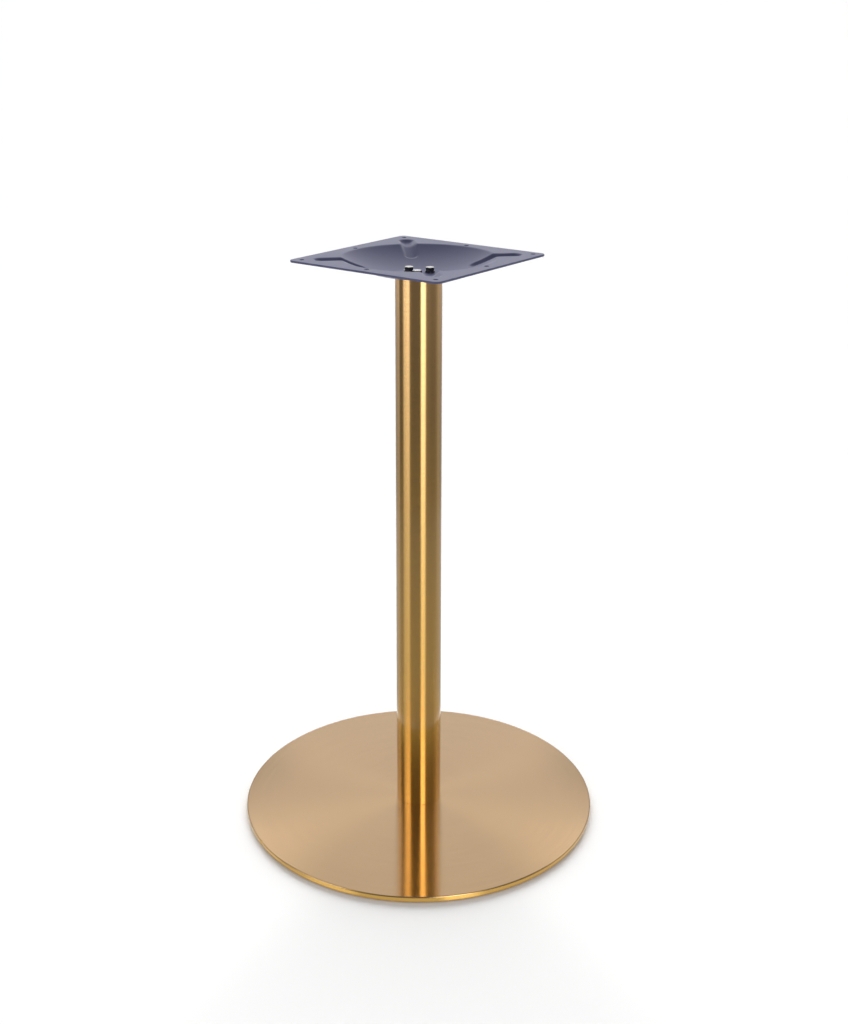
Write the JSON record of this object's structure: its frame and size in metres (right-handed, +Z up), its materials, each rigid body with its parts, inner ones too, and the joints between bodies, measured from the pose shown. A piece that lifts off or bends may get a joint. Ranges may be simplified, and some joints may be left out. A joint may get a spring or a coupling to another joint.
{
  "type": "table base",
  "caption": "Pedestal table base: flat round foot, straight tube column and a square pressed top plate with a round dish, diagonal channels and screw holes.",
  "frame": {"origin": "centre of the foot, on the floor that the pads stand on", "axes": "+Z up along the column's axis; X and Y run along the top plate's sides"},
  "size_m": [0.45, 0.45, 0.725],
  "materials": {
    "brushed_brass": "stainless sheet and tube, brushed, with a hard brass-coloured coating",
    "slate_paint": "slate blue-grey powder coat, satin",
    "black_primer": "thin black primer on mild steel",
    "bare_steel": "turned mild steel, lightly oiled",
    "bright_zinc": "zinc plated steel",
    "black_fastener": "black oxide steel",
    "pad_rubber": "smooth black rubber"
  },
  "bodies": {
    "root": {"base_cover": "brushed_brass", "base_weight_plate": "black_primer", "column_tube": "brushed_brass", "column_foot_flange": "bare_steel", "column_head_flange": "bare_steel", "top_plate": "slate_paint", "floor_pad_1": "pad_rubber", "floor_pad_2": "pad_rubber", "floor_pad_3": "pad_rubber", "floor_pad_4": "pad_rubber", "floor_pad_5": "pad_rubber", "floor_pad_6": "pad_rubber", "base_screw_1": "black_fastener", "base_screw_2": "black_fastener", "base_screw_3": "black_fastener", "plain_washer_1": "bright_zinc", "plain_washer_2": "bright_zinc", "plain_washer_3": "bright_zinc", "spring_washer_1": "bright_zinc", "spring_washer_2": "bright_zinc", "spring_washer_3": "bright_zinc", "top_bolt_1": "bright_zinc", "top_bolt_2": "bright_zinc", "top_bolt_3": "bright_zinc"}
  },
  "joints": []
}
